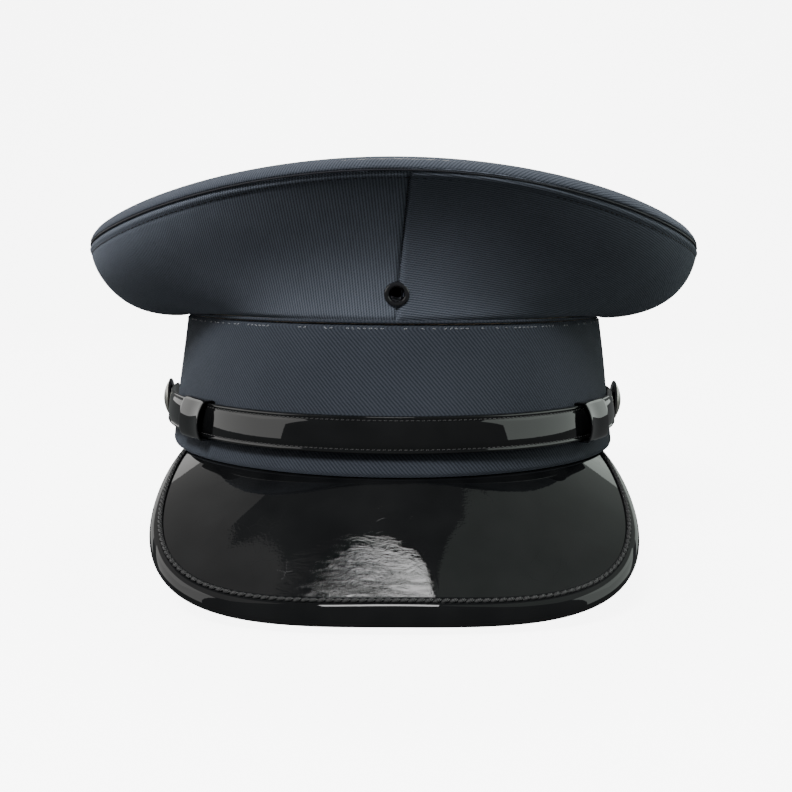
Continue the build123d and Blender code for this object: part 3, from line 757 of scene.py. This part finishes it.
def lining():
    """Satin on the inside of the crown's wall and top, with a clear shield and a blank label."""
    angles = np.linspace(180, -180, 361)
    shares = np.linspace(0.01, 0.985, 40)
    grid = crown_wall(angles, shares, inset=4.6, droop=0.0)
    a, v = np.radians(angles)[:, None], shares[None, :]
    fold = 0.5 * np.sin(46 * a + 3 * v) + 0.4 * np.sin(71 * a + 1) * v
    push = 0.9 + 0.8 * fold * np.sin(math.pi * v) ** 0.7
    grid = grid + grid_normals(grid) * push[..., None]
    piece = shell("lining_side_satin", grid, 0.25, SATIN, "cap", "lining_satin", hole=5.6)
    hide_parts("lining_side")

    low, high = box_mm("lining_tip")
    half_x, half_y, mid_y = high[0] - 0.4, (high[1] - low[1]) / 2 - 0.4, (high[1] + low[1]) / 2
    turn = np.linspace(0, -TAU, 181)[:-1][:, None]
    share = np.linspace(1, 0.02, 36)[None, :]
    x, y = half_x * share * np.sin(turn), mid_y - half_y * share * np.cos(turn)
    puff = 0.35 * np.sin(9 * turn) * share**3 * (1 - share) * 4 - 0.2 * np.sin(24 * turn) * share**6
    grid = coords(x, y, rim_height(y) - 0.55 + puff)
    patch = Patch().grid(grid, np.concatenate([grid, grid[:1]])[..., :2], close_u=True)
    patch.cap(grid[:, -1])
    top = patch.piece("lining_tip_satin", SATIN, "cap", "lining_satin")
    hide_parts("lining_tip")

    high = box_mm("sweat_shield")[1]
    turn = np.linspace(0, -TAU, 145)[:-1][:, None]
    share = np.linspace(1, 0.03, 20)[None, :]
    x, y = high[0] * share * np.sin(turn), -high[1] * share * np.cos(turn)
    grid = coords(x, y, rim_height(y) - 1.0)
    patch = Patch().grid(grid, None, close_u=True).cap(grid[:, -1])
    shield = patch.piece("sweat_shield_film", FILM, "cap", "clear_shield")
    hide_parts("sweat_shield")
    edge = grid[:, 0] - UP * 0.1
    tube("sweat_shield_edging", round_tube(edge, 0.55, 8), SATIN, "cap", "lining_satin", close_u=True)

    low, high = box_mm("size_label")
    u, v = np.linspace(low[0], high[0], 16)[:, None], np.linspace(high[1], low[1], 12)[None, :]
    grid = coords(u, v, low[2] + 0.35 + 0.12 * np.sin(u * 0.3) * np.cos(v * 0.4))
    label = shell("size_label_tape", grid, -0.25, TAPE, "cap", "label_tape")
    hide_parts("size_label")


# ---------------- badge eyelet

def badge_eyelet():
    bore, length = EYELET_BORE, EYELET_LENGTH
    outer = box_mm("badge_eyelet")[1][0]
    arc = np.linspace(-0.25 * math.pi, 1.0 * math.pi, 15)
    roll = (outer - bore) / 2
    lip = [(bore + roll + roll * math.cos(t), -0.9 + 1.05 * math.sin(t)) for t in arc]
    barrel = [(bore, -1.6), (bore, -length + 0.3), (bore + 0.25, -length), (bore + 0.6, -length + 0.2)]
    grid = spun(np.array([*lip, *barrel, (bore + 0.6, -1.3)]), EYELET_MOUTH, EYELET_AXIS)
    piece = tube("badge_eyelet_ring", grid, ENAMEL, "cap", "black_enamel", close_u=True)
    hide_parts("badge_eyelet")


# ---------------- peak

SEAT_X, SEAT_Y = BAND_X - 1.4, BAND_Y - 1.4
PEAK_HALF = PEAK_HIGH[0]
PEAK_FRONT = PEAK_LOW[1]


def peak_height(x, y, above=0.0):
    """The peak's cone-like top surface, bent down a little more towards its front edge."""
    k = np.hypot(x / SEAT_X, y / SEAT_Y)
    angle = np.arctan2(x / SEAT_X, -y / SEAT_Y)
    fall = PEAK_FALL_SIDE + PEAK_FALL_FRONT * np.cos(angle) ** PEAK_FALL_POWER
    return above - 0.2 - fall * (k - 1)


def peak_edge(inset, count=240):
    """The peak's outline, from the wearer's right corner to the left, inset from its rim."""
    half, front = PEAK_HALF - inset, PEAK_FRONT + inset
    corner_x = BAND_X * math.cos(math.asin(PEAK_CORNER_Y / BAND_Y)) - 1 - inset
    t = np.linspace(0, 1, count // 6 + 1)[:, None]
    corner, side = np.array([corner_x, PEAK_CORNER_Y]), np.array([half, PEAK_SIDE_Y])
    nose = np.array([0, front])
    bend = np.array([half, PEAK_CORNER_Y - 14])
    first = corner * (1 - t) ** 2 + bend * 2 * t * (1 - t) + side * t * t
    t = np.linspace(0, 1, count // 3 + 1)[:, None]
    a, b = np.array([half, PEAK_SIDE_Y - 46]), np.array([half - 20, front])
    second = side * (1 - t) ** 3 + a * 3 * t * (1 - t) ** 2 + b * 3 * t * t * (1 - t) + nose * t**3
    right = np.vstack([first, second[1:]])
    line = np.vstack([right * (-1, 1), right[-2::-1]])
    return along(line, np.linspace(0, arc_lengths(line)[-1], count + 1))


def peak_sheet(name, inset, above, material, slot, flip=False):
    """One face of the peak, from the headband to its outline."""
    rim = peak_edge(inset)
    scale = 1 / np.hypot(rim[:, 0] / SEAT_X, rim[:, 1] / SEAT_Y)
    seat = rim * np.minimum(scale, 1.0)[:, None] * 0.992
    share = np.linspace(0, 1, 56)[None, :, None]
    flat = seat[:, None] * (1 - share) + rim[:, None] * share
    z = peak_height(flat[..., 0], flat[..., 1], above)
    grid = np.concatenate([flat, z[..., None]], axis=-1)
    patch = Patch().grid(grid, flat, flip=flip)
    return patch.piece(name, material, "cap", slot)


def binding_profile():
    """The binding's section as (inset from the rim, height over the peak's top)."""
    top = [(4.45, 0.1), (4.45, 0.45), (4.3, 0.62), (4.1, 0.5)]
    top += [(3.9, 0.3), (3.2, 0.3), (2.95, 0.42), (2.6, 0.48)]
    roll = [(2.3 - 2.3 * math.cos(t), -2.2 + 2.75 * math.sin(t)) for t in np.linspace(1.25, -1.3, 18)]
    under = [(2.9, -4.75), (3.8, -4.95), (4.3, -4.9), (4.45, -4.75), (4.45, -4.5)]
    return top + roll + under + [(3.6, -4.4), (1.7, -2.2), (3.6, 0.0)]


def peak():
    top = peak_sheet("peak_top_patent", 1.8, 0.0, PATENT, "patent_leather", flip=True)
    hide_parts("peak_top")
    under = peak_sheet("peak_underside_cloth", 1.8, -4.45, UNDER_LEATHER, "peak_lining")
    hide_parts("peak_underside")

    columns = []
    for inset, above in binding_profile():
        line = peak_edge(inset)
        z = peak_height(line[:, 0], line[:, 1], above)
        columns.append(np.column_stack([line, z]))
    grid = np.stack(columns, axis=1)
    piece = tube("peak_binding_patent", grid, PATENT_SOFT, "cap", "patent_leather")
    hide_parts("peak_binding")

    for name, above, sign in (("peak_edge_stitching", 0.55, 1), ("peak_under_stitching", -4.95, -1)):
        line = peak_edge(3.6, 480)
        z = peak_height(line[:, 0], line[:, 1], above)
        path = np.column_stack([line, z])
        ups = np.tile(unit(np.array([0, -0.6, 0.8])) * sign, (len(path), 1))
        stitches(name, path, ups, 2.5, (2.85, 1.5, 1.25), THREAD_WAXED, "cap", slant=0.26)


# ---------------- chin strap

def strap_arc():
    """The strap's line: radii and centres of its side and front arcs, at its inner face."""
    half_x = BAND_X - BAND_LEAN * STRAP_Z + STRAP_CLEAR
    half_y = half_x + BAND_Y - BAND_X
    front_r = half_x**2 / half_y * (1 + STRAP_FRONT_EASE * (half_y / half_x - 1))
    front_c = half_y - front_r
    side_r = (half_x**2 + front_c**2 - front_r**2) / (2 * (half_x - front_r))
    return front_r, front_c, side_r, side_r - half_x


FRONT_R, FRONT_C, SIDE_R, SIDE_C = strap_arc()


def strap_path(start, stop, count=240):
    """Points and outward directions on the strap's line. start and stop are degrees from each
    side's own axis, on the side arcs: negative is behind the button."""
    turn = math.atan2(SIDE_C, FRONT_C)
    side_end = math.pi / 2 - turn
    angles = np.linspace(math.radians(start), side_end, 400)
    right = coords(SIDE_C - SIDE_R * np.cos(angles), -SIDE_R * np.sin(angles))
    angles = np.linspace(-turn, turn, 600)
    front = coords(FRONT_R * np.sin(angles), -FRONT_C - FRONT_R * np.cos(angles))
    angles = np.linspace(side_end, math.radians(stop), 400)
    left = coords(SIDE_R * np.cos(angles) - SIDE_C, -SIDE_R * np.sin(angles))
    line = np.vstack([right, front[1:], left[1:]])
    line = along(line, np.linspace(0, arc_lengths(line)[-1], count))
    step = np.gradient(line, axis=0)
    out = unit(coords(step[:, 1], -step[:, 0]))
    return line, out


def strap(name, start, stop, depth, node, round_start):
    """A strap with a raised middle between two stitched grooves and rounded edges."""
    line, out = strap_path(start, stop, 300)
    run = arc_lengths(line)
    half = STRAP_HALF - 0.15
    face = [(1, 0.15), (0.985, 0.75), (0.93, 1.0), (0.86, 1.02)]
    face += [(0.80, 0.72), (0.74, 0.72), (0.66, 1.08), (0.4, 1.22)]
    rows = [(-up, rise) for up, rise in face] + [(0, 1.3)] + face[::-1]
    rows += [(0.9, 0.02), (0.3, 0.0), (-0.3, 0.0), (-0.9, 0.02)]
    ends = np.minimum(run, STRAP_HALF) if round_start else np.full_like(run, STRAP_HALF)
    taper = np.minimum(ends, np.minimum(run[-1] - run, STRAP_HALF))
    width = np.sqrt(np.maximum(STRAP_HALF**2 - (STRAP_HALF - taper) ** 2, 0.04)) / STRAP_HALF
    columns = []
    for up, rise in rows:
        z = up * half * width
        away = depth + rise - BAND_LEAN * z
        columns.append(np.column_stack([line + out * away[:, None], STRAP_Z + z]))
    grid = np.stack(columns, axis=1)
    piece = tube(name, grid, PATENT_SOFT, "chin_strap", "patent_leather")
    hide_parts(node)
    keep = (run > 5) & (run < run[-1] - 5)
    out3 = np.column_stack([out, np.zeros(len(out))])[keep]
    for k, up in enumerate((-0.77, 0.77)):
        z = up * half
        groove = line + out * (depth + 0.74 - BAND_LEAN * z)
        path = np.column_stack([groove, np.full(len(line), STRAP_Z + z)])[keep]
        row = f"{name}_stitching_{k + 1}"
        stitches(row, path, out3, 1.75, (1.35, 0.5, 0.42), THREAD_WAXED, "chin_strap", slant=0.12)


def keeper(name, side, body):
    """A wide leather loop round both straps, bowed out at the front, with rounded rims."""
    thick, room, gap, corner = 0.6, 0.2, 2.05, 1.0
    back, shoulder, bulge = -room - thick / 2, gap + room + 0.35, gap + room + 1.7 + thick / 2
    half = STRAP_HALF + room + thick / 2
    loop = [(back, t) for t in np.linspace(-half + corner, half - corner, 9)]
    loop += [(back + corner - corner * math.cos(t), half - corner + corner * math.sin(t)) for t in (0.5, 1.0)]
    loop += [(r, half) for r in np.linspace(back + corner, shoulder - 0.9, 4)]
    bow = np.linspace(1, -1, 19)
    bows = [(bulge - shoulder) * (1 - b * b) ** 0.75 for b in bow]
    loop += [(shoulder + out, half * b * (0.94 + 0.06 * abs(b))) for out, b in zip(bows, bow)]
    loop += [(r, -half) for r in np.linspace(shoulder - 0.9, back + corner, 4)]
    loop += [(back + corner - corner * math.cos(t), -half + corner - corner * math.sin(t)) for t in (1.0, 0.5)]
    loop = np.array(loop)
    step = np.roll(loop, -1, 0) - np.roll(loop, 1, 0)
    normal = unit(coords(-step[:, 1], step[:, 0]))
    if np.mean(np.sum(normal * (loop - loop.mean(0)), axis=1)) < 0:
        normal = -normal
    length = math.radians(KEEPER_SPAN) * SIDE_R
    rim = np.linspace(-math.pi / 2, math.pi / 2, 7)
    section = [(length + thick / 2 * math.cos(t) - thick / 2, thick / 2 * math.sin(t)) for t in rim]
    section += [(s, thick / 2) for s in np.linspace(length - 2.0, 2.0, 9)]
    section += [(thick / 2 - thick / 2 * math.cos(t), thick / 2 * math.sin(t)) for t in rim[::-1]]
    section += [(s, -thick / 2) for s in np.linspace(2.0, length - 2.0, 9)]
    columns = []
    for s, n in section:
        flare = 1.5 * max(0.0, s / length - 0.5) ** 2 / 0.25
        outer = np.clip(loop[:, 0] / bulge, 0, 1)
        radial = SIDE_R + loop[:, 0] + normal[:, 0] * n + flare * outer - BAND_LEAN * loop[:, 1]
        height = STRAP_Z + loop[:, 1] + normal[:, 1] * n
        turn = math.radians(KEEPER_AT) + s / SIDE_R
        x, y = side * (radial * math.cos(turn) - SIDE_C), -radial * math.sin(turn)
        columns.append(np.column_stack([x, y, height]))
    grid = np.stack(columns, axis=1)
    patch = Patch().grid(grid, None, True, True, flip=side < 0)
    piece = patch.piece(name + "_loop", PATENT_SOFT, body, "patent_leather")
    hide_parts(name)


def button(name, side):
    """A plain silver dome with a rolled rim, over a dished back in black enamel that is painted shade for the
    dome's shadowed underside, with its post.
    """
    low, high = box_mm(name + "_dome")
    base = low[0] if side > 0 else -high[0]
    rise, radius = high[0] - low[0], (high[1] - low[1]) / 2
    ball = (radius**2 + rise**2) / (2 * rise)
    centre, axis = np.array([side * base, 0, STRAP_Z]), (side, 0, 0)
    edge = [(0.2, -0.1), (0.94, -0.35), (0.985, -0.2), (1, 0.1), (0.985, 0.38)]
    edge = np.array(edge) * (radius, 1)
    sweep = np.linspace(0.95, 0.02, 26) * math.asin(radius / ball)
    dome = np.array([(ball * math.sin(t), ball * math.cos(t) - ball + rise) for t in sweep])
    grid = spun(np.vstack([edge, dome]), centre, axis)
    patch = Patch().grid(grid, None, True, False).cap(grid[:, -1]).cap(grid[:, 0], flip=True)
    piece = patch.piece(name + "_shell", SILVER, name, "silver_metal")
    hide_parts(name + "_dome")
    # The dished back is black enamel as painted shade: it stands for the underside of the dome in shadow.
    dish = [(0.3, -1.35), (2.6, -1.35), (3.4, -1.2), (radius * 0.82, -0.5), (radius * 0.93, -0.3)]
    dish += [(radius * 0.9, -0.05), (0.3, -0.05)]
    grid = spun(np.array(dish), centre, axis)
    patch = Patch().grid(grid, None, True, False).cap(grid[:, 0], flip=True).cap(grid[:, -1])
    patch.piece(name + "_back", ENAMEL, name, "black_enamel")


def chin_strap():
    strap("chin_strap_inner_leather", 25.0, -3.0, 0.0, "chin_strap_inner", False)
    strap("chin_strap_outer_leather", -3.0, 25.0, 1.05, "chin_strap_outer", True)
    keeper("keeper_left", 1, "keeper_left")
    keeper("keeper_right", -1, "keeper_right")
    button("button_left", 1)
    button("button_right", -1)


# ---------------- CAD nodes that stay

def dress_nodes():
    """CAD nodes that are the right shape keep their mesh and get a better material."""
    looks = (
        (FIBREBOARD, "band_stiffener", "peak_core"),
        (CANVAS, "crown_interlining"),
        (BLACK_PLASTIC, "front_stay"),
        (WHITE_PLASTIC, "crown_hoop"),
        (ENAMEL, "eyelet_washer"),
        (STEEL, "hoop_ferrule", "band_post_eyelets"),
        (STEEL, "button_left_shank", "button_right_shank", "button_left_nut", "button_right_nut"),
    )
    for material, *nodes in looks:
        for node in nodes:
            mesh = frame["nodes"][node].data
            mesh.materials.clear()
            mesh.materials.append(material)


# ---------------- stage

def area_light(name, place, target, size, power, colour=(1, 1, 1)):
    light = bpy.data.lights.new(name, "AREA")
    light.shape = "RECTANGLE"
    light.size, light.size_y = size
    light.energy = power
    light.color = colour
    lamp = bpy.data.objects.new(name, light)
    lamp.location = place
    lamp.rotation_euler = (Vector(target) - Vector(place)).to_track_quat("-Z", "Y").to_euler()
    bpy.context.scene.collection.objects.link(lamp)
    return lamp


def ceiling_panel(name, side, colour):
    """A big soft ceiling panel, cut so that its inner edge shows down the glossy peak."""
    if side < 0:
        edge = [(0.34, -0.41), (0.39, -0.33), (0.46, -0.23), (0.55, -0.11), (0.67, 0.06)]
    else:
        edge = [(0.16, -0.52), (0.20, -0.46), (0.27, -0.40), (0.40, -0.29), (0.61, -0.06)]
    outline = edge + [(0.74, 0.20), (0.4, 0.9), (0.4, 3.0), (2.6, 3.0), (2.6, -0.6), (0.9, -0.9)]
    mesh = bpy.data.meshes.new(name)
    mesh.from_pydata([(side * x, y, CEILING_Z) for x, y in outline], [], [list(range(len(outline)))])
    look = Look(name, Roughness=1.0)
    look.colour(look.ramp(look.noise(look.object_space(), 1.0), (0.0, (0, 0, 0)), (1.0, (0, 0, 0))))
    look.glow(colour, CEILING_GLOW)
    mesh.materials.append(look.material)
    panel = bpy.data.objects.new(name, mesh)
    bpy.context.scene.collection.objects.link(panel)


def stage():
    floor_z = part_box("peak_binding")[0].z - 0.0006
    mesh = bpy.data.meshes.new("floor")
    radius, rise, bend, turns = 2.4, 2.6, 0.8, 72
    steps = [(0.01, 0.0), (0.8, 0.0), (radius - bend, 0.0)]
    bends = np.linspace(0, math.pi / 2, 13)[1:]
    steps += [(radius - bend + bend * math.sin(t), bend - bend * math.cos(t)) for t in bends]
    steps.append((radius, rise))
    angles = np.arange(turns) * TAU / turns
    points = [(r * math.cos(t), r * math.sin(t), floor_z + z) for r, z in steps for t in angles]
    faces = [
        [i * turns + k, i * turns + (k + 1) % turns, (i + 1) * turns + (k + 1) % turns, (i + 1) * turns + k]
        for i in range(len(steps) - 1)
        for k in range(turns)
    ]
    faces.append(list(range(turns)))
    mesh.from_pydata(points, [], faces)
    mesh.polygons.foreach_set("use_smooth", [True] * len(mesh.polygons))
    mesh.materials.append(floor_look("pale_floor", (0.90, 0.90, 0.90)))
    floor = bpy.data.objects.new("floor", mesh)
    bpy.context.scene.collection.objects.link(floor)
    floor.visible_glossy = False
    floor.visible_diffuse = False
    floor.visible_shadow = False

    world = bpy.data.worlds.new("studio")
    bpy.context.scene.world = world
    world.use_nodes = True
    world.node_tree.nodes["Background"].inputs["Color"].default_value = (0.80, 0.84, 0.84, 1)
    world.node_tree.nodes["Background"].inputs["Strength"].default_value = 0.16
    target = (0, 0, 0.03)
    for side, colour in ((-1, (1.0, 0.99, 0.97)), (1, (0.90, 1.0, 0.93))):
        name = "left" if side < 0 else "right"
        ceiling_panel(f"ceiling_{name}", side, colour)
        area_light(f"rear_{name}", (side * 1.1, 1.15, 0.4), target, (0.8, 0.8), 2.2, colour)
        area_light(f"side_{name}", (side * 1.45, -0.15, 0.55), target, (1.6, 1.3), 9.0, colour)
    key = area_light("key", (-0.45, -1.3, 1.25), target, (0.6, 0.4), 46)
    key.visible_glossy = False
    area_light("highlight", (-0.04, -0.53, CEILING_Z), (-0.04, -0.53, 0), (0.40, 0.13), 2.0)
    area_light("backdrop_wash", (0, 1.2, 2.2), (0, 1.5, 0.5), (0.8, 0.3), 30)


def camera():
    data = bpy.data.cameras.new("camera")
    data.lens, data.sensor_width = 53.7, 36
    data.clip_start = 0.01
    view = bpy.data.objects.new("camera", data)
    place = Vector((-0.005, -0.4858, 0.068))
    yaw, down, roll = math.radians(0.74), math.radians(6.23), math.radians(0.4)
    aim = place + Vector((math.sin(yaw), math.cos(yaw), -math.tan(down)))
    turn = (aim - place).to_track_quat("-Z", "Y").to_matrix().to_4x4()
    view.matrix_world = Matrix.Translation(place) @ turn @ Matrix.Rotation(roll, 4, "Z")
    bpy.context.scene.collection.objects.link(view)
    bpy.context.scene.camera = view


crown()
headband()
sweatband()
lining()
badge_eyelet()
peak()
chin_strap()
dress_nodes()
stage()
camera()
